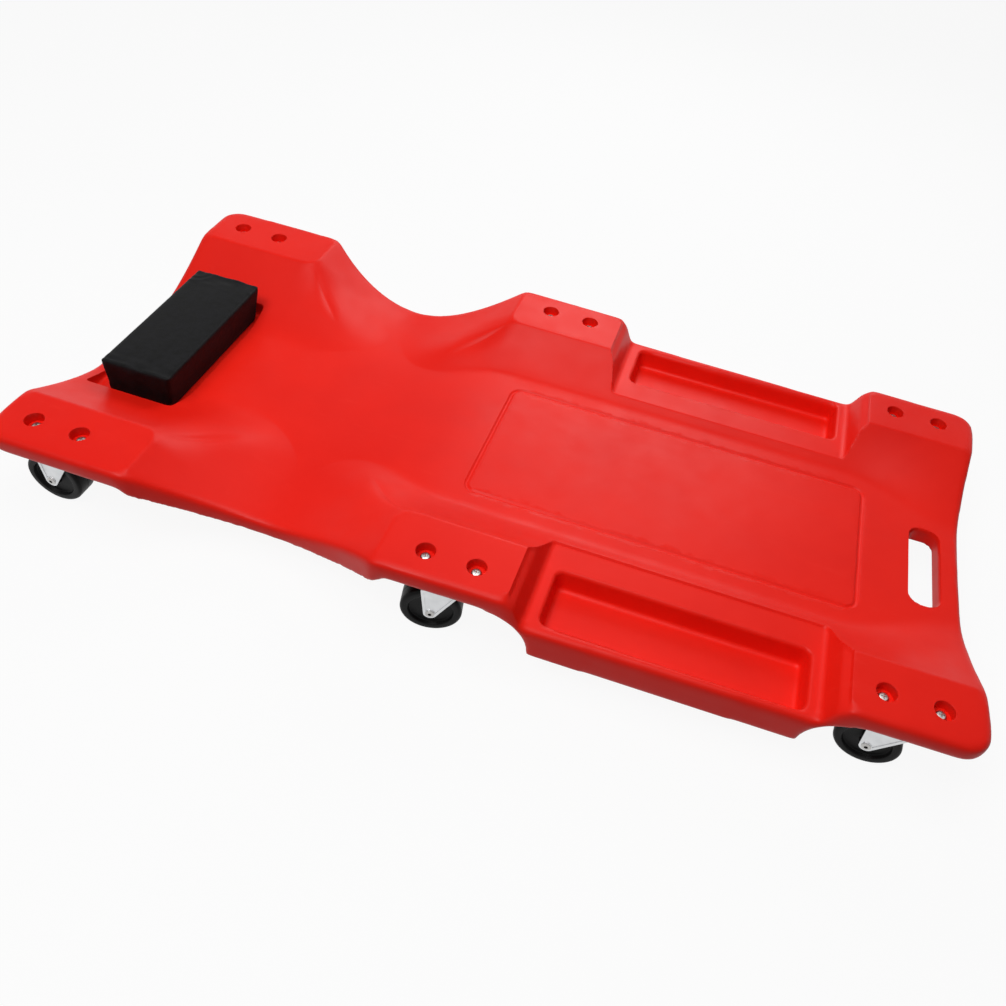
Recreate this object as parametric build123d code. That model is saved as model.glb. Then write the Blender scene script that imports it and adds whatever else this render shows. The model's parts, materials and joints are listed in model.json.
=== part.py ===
"""Low-profile mechanics creeper: a moulded deck on six swivel casters, with a headrest.

Millimetres. +X runs towards the user's feet, +Y to the left of a user lying on the deck,
+Z up. The origin is on the ground below the middle of the deck.
"""
from build123d import *
from math import atan2, cos, hypot, radians, sin
import os

# ---------------------------------------------------------------- driving dimensions
# Wheels and casters
wheel_radius = 31.75
wheel_width = 25.0
wheel_shoulder = 3.5          # rounding of the tread's edges
wheel_recess = 4.2            # how deep each side is dished
wheel_rim = 8.0               # radial depth of the tread band
wheel_draft = 1.0             # lean of the dished sides' walls
hub_radius = 8.0
caster_height = 79.0          # ground to the deck's mounting face
caster_trail = 15.7           # kingpin axis to axle
plate_length = 72.0
plate_width = 42.0
plate_thickness = 2.5
plate_corner = 8.0
dish_depth = 5.0              # how far the plate's middle is pressed down
dish_slope = 41.0             # degrees from horizontal
kingpin_radius = 5.0
kingpin_head_radius = 9.0
kingpin_head = 3.2
rivet_head_radius = 8.0
rivet_head = 2.0
ball_radius = 2.4
ball_count = 10
ball_facet_share = 0.85       # face distance of a faceted ball over its radius
race_rim = 2.0                # wall of the crown's upturned rim
race_radius = 19.3            # outside of that rim
race_height = 3.0
fork_thickness = 2.0
fork_gap = 28.0               # between the inner faces of the two legs
fork_crown_gap = 2.5          # between the tread and the crown
leg_tip_radius = 6.8
leg_front = 26.0              # reach of the leg's top ahead of the kingpin, along the trail
leg_back = 14.0               # reach of the leg's top behind the kingpin
leg_border = 2.8              # raised border round each leg's pressed panel
leg_press = 0.6               # depth of that panel
leg_boss = 0.9                # raised land round the axle's flare
fork_bend = 2.6
axle_radius = 3.2
axle_bore = 1.9
axle_flare_radius = 4.7
axle_flare = 1.2

# Fasteners
bolt_spacing = 52.5
bolt_radius = 3.0
bolt_hole_clearance = 0.3
bolt_head_radius = 5.3
bolt_head = 3.6
bolt_tail = 0.8               # thread showing past the nut
counterbore_radius = 9.85
counterbore_depth = 11.0
washer_radius = 6.0
washer_thickness = 1.2
nut_flats = 10.0
nut_height = 4.5

# Fits
running_clearance = 0.05
wheel_side_clearance = 0.2
soft_clearance = 0.3

# Deck in plan
deck_length = 1016.0
head_half_width = 246.0
mid_half_width = 249.0
foot_half_width = 241.0
waist_half_width = 208.0
head_corner_radius = 24.0
foot_corner_radius = 24.0
pad_corner_radius = 18.0
foot_hollow = 8.0             # how far the foot end is hollowed in plan
foot_hollow_half_width = 200.0

# Caster stations: distance of each pair along X and out from the centre line
head_station_inset = 66.0     # from the head end
mid_station = -8.0
foot_station_inset = 70.0     # from the foot end
head_caster_y = 209.0
mid_caster_y = 215.6
foot_caster_y = 208.3
head_swivel = 179.7           # degrees, where each right-hand caster trails at rest
mid_swivel = 192.3
foot_swivel = 173.2

# Deck in height
pad_thickness = 25.0
ground_clearance = 32.0       # ground to the deck's underside
bed_depth = 36.0              # pad tops down to the flat bed
head_bed_depth = 46.5         # pad tops down to the bed under the shoulders
waist_drop = 6.0              # extra fall of the rim at the waist
pad_inner_edge = 173.0        # the raised sides' inner shoulder, from the centre line
bed_half_width = 112.0        # flat bed between the tool trays
trough_half_width = 64.0      # flat bed at the two ends
side_power = 1.35             # curvature of the raised sides
waist_center = -212.0
waist_half_length = 134.0
waist_power = 1.9
bed_step_end = -52.0          # where the bed reaches its flat foot part
foot_flare = 138.0            # length over which the bed narrows to the foot end
shoulder_blend = 0.07          # rounding of the raised sides' upper and lower shoulders
waist_blend = 0.05            # rounding of the pads' edges towards the waist
crease_power = 6.0            # how crisp the crease between the two slopes is
pad_plan_radius = 18.0        # rounding in plan of the pads' inner corners at the waist
corner_fall = 0.012           # share of the pad's height lost per millimetre past that rounding
corner_fade = 60.0            # how far down the slopes that rounding reaches
surface_step = 8.0            # spacing of the moulded surface's grid
surface_margin = 12.0
surface_error = 0.6           # how far the fitted surface may stray from its formula
rim_radius = 4.0              # rounding of the moulding's upper edges
rim_relief = 6.0              # bevel of the pads' lower edges

# Bays under the pads that the casters swing in
bay_inner_top = 164.0
bay_inner_foot = 118.0
head_bay = 155.0              # level part of the head bays, from the head end
mid_bay_start = -66.0
keel_center = -206.0
tray_block_start = 84.0
tray_block_inset = 154.0      # from the foot end

# Tool trays
platform_drop = 32.0          # pad tops down to the tray's rim
platform_start = 74.0
platform_inset = 145.0        # from the foot end
platform_end_run = 14.0       # how far the end walls lean
platform_radius = 5.0
platform_shoulder = 10.0      # height and run of the end walls' sloping tops
platform_shoulder_radius = 12.0
tray_start = 89.0
tray_inset = 158.0            # from the foot end
tray_inner = 163.0
tray_outer = 233.0
tray_depth = 24.0
tray_draft = 8.0
tray_corner = 9.0
tray_floor_radius = 3.0
tray_lip_radius = 2.0

# Bed details
panel_start = -41.0
panel_inset = 116.0           # from the foot end
panel_half_width = 93.0
panel_corner = 14.0
panel_groove = 3.5
panel_groove_depth = 1.2
panel_sink = 0.4              # the flat panel inside the groove
slot_inset = 30.0             # from the foot end
slot_width = 33.0
slot_half_length = 56.0
slot_corner = 13.0
slot_radius = 4.0
grip_thickness = 20.0         # what is left of the deck round the hand slot
grip_depth = 84.0             # from the foot end
grip_half_width = 92.0

# Headrest
recess_inset = 16.0           # from the head end
recess_length = 108.0
recess_half_width = 107.0
recess_depth = 5.5
recess_corner = 6.0
cushion_inset = 37.5          # from the head end
cushion_depth = 87.5
cushion_half_width = 99.0
cushion_top = 99.0
cushion_front_taper = 9.0
cushion_end_taper = 5.0
cushion_edge = 2.5            # bevel of the top edges
board_thickness = 6.0
board_inset = 6.0
screw_radius = 2.4
screw_hole_clearance = 0.2
screw_head_radius = 4.6
screw_head = 2.6
screw_spacing = 120.0
screw_point_cover = 1.0       # board left over the screw's point
screw_boss_depth = 8.0        # counterbore under the deck

# ---------------------------------------------------------------- derived sizes
pad_top = caster_height + pad_thickness
bed_top = pad_top - bed_depth
head_bed_top = pad_top - head_bed_depth
platform_top = pad_top - platform_drop
head_end = -deck_length / 2
foot_end = deck_length / 2
head_station = head_end + head_station_inset
foot_station = foot_end - foot_station_inset
head_bay_end = head_end + head_bay
foot_flare_start = foot_end - foot_flare
tray_block_end = foot_end - tray_block_inset
platform_end = foot_end - platform_inset
tray_end = foot_end - tray_inset
panel_end = foot_end - panel_inset
slot_end = foot_end - slot_inset
slot_start = slot_end - slot_width
grip_start = foot_end - grip_depth
recess_start = head_end + recess_inset
recess_end = recess_start + recess_length
cushion_back = head_end + cushion_inset
cushion_front = cushion_back + cushion_depth
bolt_seat = pad_top - counterbore_depth
plate_under = caster_height - plate_thickness
crown_under = 2 * wheel_radius + fork_crown_gap
crown_top = crown_under + fork_thickness
dish_floor = plate_under - dish_depth
recess_floor = head_bed_top - recess_depth
leg_face = fork_gap / 2 + fork_thickness
blank_top = pad_top + surface_margin
reach = deck_length           # long enough to cut right through in any direction

STATIONS = {
    "head": (head_station, head_caster_y, head_swivel),
    "mid": (mid_station, mid_caster_y, mid_swivel),
    "foot": (foot_station, foot_caster_y, foot_swivel),
}
SIDES = {"right": -1, "left": 1}


# ---------------------------------------------------------------- shape functions
def hinge(value, blend):
    """The larger of value and zero, with the corner rounded across +-blend."""
    if value <= -blend:
        return 0.0
    if value >= blend:
        return value
    return (value + blend) ** 2 / (4 * blend)


def ramp(value, blend):
    """value held between 0 and 1, with both corners rounded."""
    return hinge(value, blend) - hinge(value - 1, blend)


def step(value, start, end):
    """A smooth step from 0 at start to 1 at end."""
    share = min(max((value - start) / (end - start), 0.0), 1.0)
    return share * share * (3 - 2 * share)


def waist_share(x):
    """0 in the bottom of the waist, 1 from the pads onwards."""
    share = abs(x - waist_center) / waist_half_length
    return (share - hinge(share - 1, waist_blend)) ** waist_power


def bed_height(x):
    """Centre line of the bed: low under the shoulders, flat from the hips down."""
    return head_bed_top + (bed_top - head_bed_top) * step(x, waist_center, bed_step_end)


def bed_edge(x):
    """Where the raised side starts, out from the centre line."""
    head = 1 - step(x, waist_center, bed_step_end)
    foot = step(x, foot_flare_start, foot_end)
    return bed_half_width + (trough_half_width - bed_half_width) * max(head, foot)


def side_share(x, y):
    """0 on the bed, 1 on the raised side."""
    edge = bed_edge(x)
    return ramp((abs(y) - edge) / (pad_inner_edge - edge), shoulder_blend) ** side_power


def corner_loss(x, y):
    """What the pads' inner corners lose to their rounding in plan."""
    past_side = pad_inner_edge - abs(y)
    past_end = waist_half_length - abs(x - waist_center)
    past = max(past_side, past_end, 0.0)
    rounded = hypot(max(past_side + pad_plan_radius, 0.0), max(past_end + pad_plan_radius, 0.0))
    return corner_fall * max(rounded - pad_plan_radius - past, 0.0) * (1 - step(past, 0.0, corner_fade))


def deck_height(x, y):
    """Top of the moulding: raised sides that fall into the waist along a fading crease."""
    along = waist_share(x)
    slopes = (1 - side_share(x, y)) ** crease_power + (1 - along) ** crease_power
    share = 1 - slopes ** (1 / crease_power) - corner_loss(x, y)
    bed = bed_height(x)
    edge_fall = waist_drop * (1 - along) * step(abs(y), trough_half_width, waist_half_width)
    return bed + (pad_top - bed) * max(share, 0.0) - edge_fall


# ---------------------------------------------------------------- small helpers
def box_between(x0, x1, y0, y1, z0, z1):
    """A box given by its two corners."""
    return Pos((x0 + x1) / 2, (y0 + y1) / 2, (z0 + z1) / 2) * Box(x1 - x0, y1 - y0, z1 - z0)


def cylinder_between(radius, z0, z1, x=0.0, y=0.0):
    """An upright cylinder between two heights."""
    return Pos(x, y, (z0 + z1) / 2) * Cylinder(radius, z1 - z0)


def turned(points):
    """The solid of revolution of a closed (radius, height) outline about Z."""
    face = make_face(Plane.XZ * Polyline(*points, close=True))
    return revolve(face, Axis.Z)


def both_sides(shape):
    """A shape and its mirror image across the centre line."""
    return shape + mirror(shape, Plane.XZ)


def bolt_places():
    """Every caster bolt's place in plan."""
    places = []
    for x, y, _ in STATIONS.values():
        for side in SIDES.values():
            for end in (-0.5, 0.5):
                places.append((x + end * bolt_spacing, side * y))
    return places


def copies(shape, places):
    """Separate copies of one solid, one at each place in plan."""
    return Compound(children=[Pos(x, y, 0) * shape for x, y in places])


# ---------------------------------------------------------------- deck
def deck_outline():
    """Plan of the deck: waisted between the head and mid pads, hollowed at the foot end."""
    waist_start = (waist_center - waist_half_length, head_half_width)
    waist_end = (waist_center + waist_half_length, mid_half_width)
    waist_middle = (waist_center, waist_half_width)
    foot_inner = (foot_end, foot_hollow_half_width)
    half = Line((head_end, 0), (head_end, head_half_width))
    half += Line((head_end, head_half_width), waist_start)
    half += ThreePointArc(waist_start, waist_middle, waist_end)
    half += Line(waist_end, (foot_end, foot_half_width))
    half += Line((foot_end, foot_half_width), foot_inner)
    hollow = ThreePointArc(foot_inner, (foot_end - foot_hollow, 0), (foot_end, -foot_hollow_half_width))
    plan = make_face(half + hollow + mirror(half, Plane.XZ))
    for x, radius in (
        (head_end, head_corner_radius),
        (foot_end, foot_corner_radius),
        (waist_start[0], pad_corner_radius),
        (waist_end[0], pad_corner_radius),
    ):
        corners = plan.vertices().filter_by(lambda v: abs(v.X - x) < 1 and abs(v.Y) > waist_half_width + 5)
        plan = fillet(corners, radius)
    return plan


def moulded_top():
    """Everything below the moulding's curved top."""
    half_length = foot_end + surface_margin
    half_width = mid_half_width + surface_margin
    rows = round(2 * half_length / surface_step)
    columns = 2 * round(half_width / surface_step)
    grid = []
    for i in range(rows + 1):
        x = half_length * (2 * i / rows - 1)
        row = []
        for j in range(columns + 1):
            y = half_width * (2 * j / columns - 1)
            row.append(Vector(x, y, deck_height(x, y)))
        grid.append(row)
    surface = Face.make_surface_from_array_of_points(grid, tol=0.3, min_deg=3, max_deg=3)
    return Solid.extrude(surface, Vector(0, 0, -blank_top))


def bay_profile():
    """Side view of the caster bays: arches at the tray block, a faired keel at the waist."""
    arch = caster_height - ground_clearance
    bottom = ground_clearance - arch
    far = reach
    keel_foot = (keel_center, ground_clearance)
    head = Polyline(keel_foot, (keel_center, bottom), (-far, bottom), (-far, caster_height),
                    (head_bay_end, caster_height))
    lead = (keel_center - head_bay_end) / 3
    head += Bezier((head_bay_end, caster_height), (head_bay_end + lead, ground_clearance + arch / 4),
                   (keel_center - lead, ground_clearance), keel_foot)
    mid_arch = tray_block_start - arch
    lead = (mid_bay_start - keel_center) / 3
    mid = Polyline((tray_block_start, ground_clearance), (tray_block_start, bottom),
                   (keel_center, bottom), keel_foot)
    mid += Bezier(keel_foot, (keel_center + lead, ground_clearance),
                  (mid_bay_start - lead, ground_clearance + arch / 4), (mid_bay_start, caster_height))
    mid += Line((mid_bay_start, caster_height), (mid_arch, caster_height))
    mid += RadiusArc((mid_arch, caster_height), (tray_block_start, ground_clearance), arch)
    foot_arch = tray_block_end + arch
    foot = RadiusArc((tray_block_end, ground_clearance), (foot_arch, caster_height), arch)
    foot += Polyline((foot_arch, caster_height), (far, caster_height), (far, bottom),
                     (tray_block_end, bottom), (tray_block_end, ground_clearance))
    return [make_face(Plane.XZ * wire) for wire in (head, mid, foot)]


def caster_bays():
    """What is cut from the underside for the casters, on both sides."""
    slope = (bay_inner_top - bay_inner_foot) / (caster_height - ground_clearance)
    low = -ground_clearance
    section = Polyline((bay_inner_foot + slope * (low - ground_clearance), low),
                       (bay_inner_top, caster_height), (reach / 2, caster_height),
                       (reach / 2, low), close=True)
    wedge = extrude(make_face(Plane.YZ * section), reach, both=True)
    bevel = lower_bevel()
    bays = []
    for profile in bay_profile():
        along = extrude(profile, reach, both=True)
        bay = wedge & along
        bays += [bay, mirror(bay, Plane.XZ), bevel & (Pos(0, 0, rim_relief) * along)]
    return bays


def lower_bevel():
    """A sloping band round the pads' lower edges."""
    outline = Pos(0, 0, caster_height) * deck_outline()
    inside = extrude(offset(outline, -rim_relief), rim_relief, taper=-45)
    inside += box_between(-reach, reach, -bay_inner_top, bay_inner_top, caster_height, pad_top)
    return extrude(offset(outline, rim_relief), rim_relief) - inside


def platform_pocket():
    """Lowers one raised side to the tray's rim, with leaning end walls."""
    wall = platform_drop - platform_shoulder
    lean = platform_end_run * wall / platform_drop
    flare = lean + platform_shoulder + surface_margin
    top = platform_top + wall + platform_shoulder + surface_margin
    outline = Polyline((platform_start, platform_top), (platform_end, platform_top),
                       (platform_end + lean, platform_top + wall), (platform_end + flare, top),
                       (platform_start - flare, top), (platform_start - lean, platform_top + wall),
                       close=True)
    pocket = extrude(make_face(Plane.XZ * outline), -(mid_half_width + surface_margin))
    pocket -= box_between(-reach, reach, -reach, bed_half_width - surface_margin, 0, 2 * pad_top)
    feet, shoulders = pocket.edges().filter_by(Axis.Y).group_by(Axis.Z)[:2]
    return pocket.fillet(platform_radius, feet).fillet(platform_shoulder_radius, shoulders)


def rim_edges(body):
    """The moulding's upper edges: round its curved top, and along the pockets in its sides."""
    top = max(body.faces().filter_by(GeomType.BSPLINE), key=lambda face: face.area)
    edges = list(top.outer_wire().edges())
    flare = platform_end_run + platform_shoulder
    for wall in body.faces().filter_by(GeomType.PLANE):
        outside = abs(wall.center().Y) > waist_half_width and abs(wall.normal_at().Y) > 0.5
        for edge in wall.edges() if outside else []:
            place = edge.center()
            along = platform_start - flare < place.X < platform_end + flare
            if along and place.Z > platform_top - 1 and not any(edge.is_same(e) for e in edges):
                edges.append(edge)
    return edges


def edges_at(body, height, x0, x1, y0, y1):
    """A body's level edges at one height inside a rectangle in plan."""
    found = []
    for edge in body.edges():
        box = edge.bounding_box()
        level = abs(box.min.Z - height) < surface_error and abs(box.max.Z - height) < surface_error
        if level and x0 < box.min.X and box.max.X < x1 and y0 < box.min.Y and box.max.Y < y1:
            found.append(edge)
    return found


def tray_recess():
    """One tool tray."""
    middle = ((tray_start + tray_end) / 2, (tray_inner + tray_outer) / 2)
    mouth = RectangleRounded(tray_end - tray_start, tray_outer - tray_inner, tray_corner)
    recess = extrude(Pos(*middle, platform_top) * mouth, -tray_depth, taper=tray_draft)
    floor = recess.edges().group_by(Axis.Z)[0]
    recess = fillet(floor, tray_floor_radius)
    return recess + extrude(Pos(*middle, platform_top) * mouth, tray_depth)


def bed_panel():
    """The flat bed panel and the shallow groove round it."""
    length = panel_end - panel_start
    middle = (panel_start + panel_end) / 2
    outer = RectangleRounded(length, 2 * panel_half_width, panel_corner)
    inner = RectangleRounded(length - 2 * panel_groove, 2 * (panel_half_width - panel_groove),
                             panel_corner - panel_groove)
    groove = extrude(Pos(middle, 0, bed_top - panel_groove_depth) * outer, surface_margin)
    land = box_between(panel_start, panel_end, -panel_half_width, panel_half_width,
                       0, bed_top - panel_sink)
    return groove - (land & extrude(Pos(middle, 0, 0) * inner, bed_top))


def hand_slot():
    """The hand slot through the foot end."""
    length = slot_end - slot_start
    mouth = RectangleRounded(length, 2 * slot_half_length, slot_corner)
    return extrude(Pos((slot_start + slot_end) / 2, 0, 0) * mouth, blank_top)


def grip_recess():
    """Finger room under the hand slot."""
    grip = box_between(grip_start, reach, -grip_half_width, grip_half_width,
                       -ground_clearance, bed_top - grip_thickness)
    return fillet(grip.edges().filter_by(Axis.X).group_by(Axis.Z)[-1], surface_margin)


def headrest_recess():
    """The shallow seat that the headrest drops into."""
    mouth = RectangleRounded(recess_end - recess_start, 2 * recess_half_width, recess_corner)
    return extrude(Pos((recess_start + recess_end) / 2, 0, recess_floor) * mouth, pad_top)


def screw_places():
    """The headrest screws, in plan."""
    middle = (cushion_back + cushion_front - cushion_front_taper) / 2
    return [(middle, end * screw_spacing) for end in (-0.5, 0.5)]


def deck():
    """The moulded deck."""
    blank = extrude(deck_outline(), blank_top)
    body = moulded_top() & blank
    for bay in caster_bays():
        body -= bay
    body -= box_between(-reach, reach, -reach, reach, -ground_clearance, ground_clearance)
    body -= both_sides(platform_pocket())
    body = body.fillet(rim_radius, rim_edges(body))
    body -= both_sides(tray_recess())
    for low, high in ((-mid_half_width, -tray_inner + 1), (tray_inner - 1, mid_half_width)):
        lip = edges_at(body, platform_top, tray_start - 1, tray_end + 1, low, high)
        body = body.fillet(tray_lip_radius, lip)
    body -= bed_panel()
    body -= hand_slot()
    rim = slot_half_length + 1
    body = body.fillet(slot_radius, edges_at(body, bed_top, slot_start - 1, slot_end + 1, -rim, rim))
    body -= grip_recess()
    body -= headrest_recess()
    for x, y in bolt_places():
        body -= cylinder_between(counterbore_radius, bolt_seat, blank_top, x, y)
        body -= cylinder_between(bolt_radius + bolt_hole_clearance, 0, blank_top, x, y)
    for x, y in screw_places():
        body -= cylinder_between(screw_radius + screw_hole_clearance, 0, pad_top, x, y)
        body -= cylinder_between(screw_head_radius + bolt_hole_clearance, 0,
                                 ground_clearance + screw_boss_depth, x, y)
    return body


# ---------------------------------------------------------------- headrest
def headrest_board():
    """The board under the cushion, screwed to the deck from below."""
    front = cushion_front - cushion_front_taper - board_inset
    half = cushion_half_width - cushion_end_taper - board_inset
    board = box_between(cushion_back + board_inset, front, -half, half,
                        recess_floor, recess_floor + board_thickness)
    tip = recess_floor + board_thickness - screw_point_cover
    for x, y in screw_places():
        board -= cylinder_between(screw_radius, 0, tip, x, y)
    return board


def headrest_cushion():
    """The padded headrest, narrower at its foot, with a pocket that takes the board."""
    low = recess_floor + soft_clearance
    foot_length = cushion_front - cushion_front_taper - cushion_back
    foot_face = Rectangle(foot_length, 2 * (cushion_half_width - cushion_end_taper))
    foot_face = Pos(cushion_back + foot_length / 2, 0, low) * foot_face
    top_face = Rectangle(cushion_front - cushion_back, 2 * cushion_half_width)
    top_face = Pos((cushion_front + cushion_back) / 2, 0, cushion_top) * top_face
    pad = loft([foot_face, top_face])
    pad = chamfer(pad.edges().group_by(Axis.Z)[-1], cushion_edge)
    board = headrest_board().bounding_box()
    gap = soft_clearance
    pocket = box_between(board.min.X - gap, board.max.X + gap, board.min.Y - gap,
                         board.max.Y + gap, 0, board.max.Z + gap)
    return pad - pocket


def headrest_screws():
    """Two screws from the underside of the deck into the board."""
    seat = ground_clearance + screw_boss_depth
    tip = recess_floor + board_thickness - screw_point_cover
    screw = turned([(0, seat - screw_head), (screw_head_radius, seat - screw_head),
                    (screw_head_radius, seat), (screw_radius, seat), (screw_radius, tip), (0, tip)])
    return copies(screw, screw_places())


# ---------------------------------------------------------------- fasteners of the casters
def caster_bolts():
    """Pan-headed bolts, head down in the deck's counterbores."""
    tail = plate_under - washer_thickness - nut_height - bolt_tail
    crown = bolt_seat + bolt_head
    bolt = turned([(0, tail), (bolt_radius, tail), (bolt_radius, bolt_seat),
                   (bolt_head_radius, bolt_seat), (bolt_head_radius, bolt_seat + bolt_head / 2),
                   (bolt_head_radius * 0.62, crown), (0, crown)])
    return copies(bolt, bolt_places())


def caster_washers():
    """Flat washers under the plates."""
    top = plate_under
    washer = cylinder_between(washer_radius, top - washer_thickness, top)
    washer -= cylinder_between(bolt_radius, 0, caster_height)
    return copies(washer, bolt_places())


def caster_nuts():
    """Hexagon nuts under the washers."""
    top = plate_under - washer_thickness
    nut = extrude(Pos(0, 0, top) * RegularPolygon(nut_flats / 2, 6, major_radius=False), -nut_height)
    nut -= cylinder_between(bolt_radius, 0, caster_height)
    return copies(nut, bolt_places())


# ---------------------------------------------------------------- one caster
# Each piece is made on the kingpin's axis, trailing along +X, then turned and placed.
def ball_pitch():
    """Radius of the ball circle, against the inside of the crown's rim."""
    return race_radius - race_rim - ball_radius - running_clearance


def mount_plate():
    """The pressed top plate: a flange with a dished middle that the balls bear against."""
    angle = radians(dish_slope)
    centre_height = crown_top + ball_radius + running_clearance
    reach_down = centre_height - dish_floor
    dish_radius = ball_pitch() - (ball_radius + running_clearance + reach_down * cos(angle)) / sin(angle)
    run = dish_depth * cos(angle) / sin(angle)
    inner = dish_radius - plate_thickness * (1 - cos(angle)) / sin(angle)
    outer = dish_radius + run + plate_thickness
    dish = turned([(kingpin_radius, dish_floor), (dish_radius, dish_floor),
                   (dish_radius + run, plate_under), (outer, plate_under), (outer, caster_height),
                   (inner + run, caster_height), (inner, dish_floor + plate_thickness),
                   (kingpin_radius, dish_floor + plate_thickness)])
    outline = RectangleRounded(plate_length, plate_width, plate_corner) - Circle(outer)
    for end in (-0.5, 0.5):
        outline -= Pos(end * bolt_spacing, 0) * Circle(bolt_radius + bolt_hole_clearance)
    return dish + extrude(Pos(0, 0, plate_under) * outline, plate_thickness)


def kingpin():
    """The rivet that holds the fork to the plate, headed at both ends."""
    top = dish_floor + plate_thickness
    low = crown_under - running_clearance
    return turned([(0, low - rivet_head), (rivet_head_radius - rivet_head / 2, low - rivet_head),
                   (rivet_head_radius, low), (kingpin_radius, low), (kingpin_radius, top),
                   (kingpin_head_radius, top), (kingpin_head_radius - kingpin_head / 2,
                   top + kingpin_head), (0, top + kingpin_head)])


def faceted_ball():
    """A ball cut as an even-sided polyhedron that stays inside the ball's radius."""
    width = 2 * ball_radius * ball_facet_share
    ball = Box(width, width, width)
    for turn in (Rot(45, 0, 0), Rot(0, 45, 0), Rot(0, 0, 45)):
        ball &= turn * Box(width, width, width)
    return ball


def ball_ring():
    """The swivel's balls, on the crown inside its rim."""
    height = crown_top + ball_radius * ball_facet_share
    ball = Pos(ball_pitch(), 0, height) * faceted_ball()
    return Compound(children=[Rot(0, 0, 360 * i / ball_count) * ball for i in range(ball_count)])


def leg_outline():
    """Side view of a fork leg: a raked V with a round tip about the axle."""
    tip = Vector(caster_trail, wheel_radius)
    sides = []
    for x, turn in ((leg_front, -1), (-leg_back, 1)):
        corner = Vector(x, crown_top)
        gap = corner - tip
        lean = atan2(gap.Y, gap.X) + turn * radians(90) - turn * (leg_tip_radius / gap.length)
        sides.append((corner, tip + Vector(cos(lean), sin(lean)) * leg_tip_radius))
    (front, front_tip), (back, back_tip) = sides
    bottom = Vector(tip.X, tip.Y - leg_tip_radius)
    outline = Line(back, front) + Line(front, front_tip)
    outline += ThreePointArc(front_tip, bottom, back_tip) + Line(back_tip, back)
    return make_face(Plane.XZ * outline)


def pressed_panels():
    """What each leg's outer face is pressed in by, inside its border and round the axle."""
    panel = extrude(offset(leg_outline(), -leg_border), leg_face, both=True)
    keep = leg_face - leg_press
    panel -= box_between(-reach, reach, -keep, keep, 0, crown_top)
    return panel - on_axle(Cylinder(axle_flare_radius + leg_boss, plate_width))


def fork():
    """The pressed fork: crown with an upturned race rim, and two raked legs."""
    saddle = extrude(leg_outline(), leg_face, both=True)
    inside = box_between(-reach, reach, -fork_gap / 2, fork_gap / 2, 0, crown_under)
    bend = saddle.edges().filter_by(Axis.X).group_by(Axis.Z)[-1]
    body = fillet(bend, fork_bend) - inside
    rim = turned([(kingpin_radius + running_clearance, crown_under), (race_radius, crown_under),
                  (race_radius, crown_top + race_height),
                  (race_radius - race_rim, crown_top + race_height),
                  (race_radius - race_rim, crown_top),
                  (kingpin_radius + running_clearance, crown_top)])
    body -= cylinder_between(race_radius, crown_under, caster_height)
    body += rim
    return body - pressed_panels() - on_axle(Cylinder(axle_radius, plate_width))


def on_axle(shape):
    """Moves a piece made about Z through the origin onto the caster's axle."""
    return Pos(caster_trail, 0, wheel_radius) * Rot(90, 0, 0) * shape


def axle():
    """The hollow axle rivet, flared over both legs."""
    end = leg_face + axle_flare
    return on_axle(turned([(axle_bore, -end), (axle_flare_radius, -leg_face - axle_flare / 2),
                           (axle_flare_radius, -leg_face), (axle_radius, -leg_face),
                           (axle_radius, leg_face), (axle_flare_radius, leg_face),
                           (axle_flare_radius, leg_face + axle_flare / 2), (axle_bore, end)]))


def wheel():
    """The moulded wheel: a rounded tread, a dished web and a hub as wide as the fork."""
    half = wheel_width / 2
    hub = fork_gap / 2 - wheel_side_clearance
    web = half - wheel_recess
    rim = wheel_radius - wheel_rim
    bore = axle_radius + running_clearance
    cut = wheel_shoulder * (1 - cos(radians(45)))
    side = [(bore, hub), (hub_radius - wheel_draft, hub), (hub_radius, web),
            (rim - wheel_draft, web), (rim, half), (wheel_radius - wheel_shoulder, half),
            (wheel_radius - cut, half - cut), (wheel_radius, half - wheel_shoulder)]
    return on_axle(turned(side + [(radius, -height) for radius, height in reversed(side)]))


CASTER_PIECES = {
    "mount_plate": mount_plate,
    "kingpin": kingpin,
    "ball_ring": ball_ring,
    "fork": fork,
    "axle": axle,
    "wheel": wheel,
}
FIXED_PIECES = ("mount_plate", "kingpin")


def caster_pieces():
    """All pieces of the six casters by name, the swivelling ones at their rest angles."""
    pieces = {}
    for piece, make in CASTER_PIECES.items():
        shape = make()
        for station, (x, y, swivel) in STATIONS.items():
            for side, sign in SIDES.items():
                turn = 0 if piece in FIXED_PIECES else -sign * swivel
                pieces[f"{station}_{side}_{piece}"] = Pos(x, sign * y, 0) * Rot(0, 0, turn) * shape
    return pieces


# ---------------------------------------------------------------- all pieces
def all_pieces():
    """Every piece of the creeper by name."""
    pieces = {
        "deck": deck(),
        "headrest_cushion": headrest_cushion(),
        "headrest_board": headrest_board(),
        "headrest_screws": headrest_screws(),
        "caster_bolts": caster_bolts(),
        "caster_washers": caster_washers(),
        "caster_nuts": caster_nuts(),
    }
    pieces.update(caster_pieces())
    return pieces


def main():
    os.makedirs("parts", exist_ok=True)
    for name, shape in all_pieces().items():
        export_step(shape, f"parts/{name}.step")
        print(name, len(shape.solids()), round(sum(s.volume for s in shape.solids())))


if __name__ == "__main__":
    main()
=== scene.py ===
"""Mechanics creeper: the looks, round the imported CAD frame. Metres, in the row frame."""
import json
from math import cos, pi, sin

import bmesh
import bpy
import numpy as np
from mathutils import Matrix, Vector, noise

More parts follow.
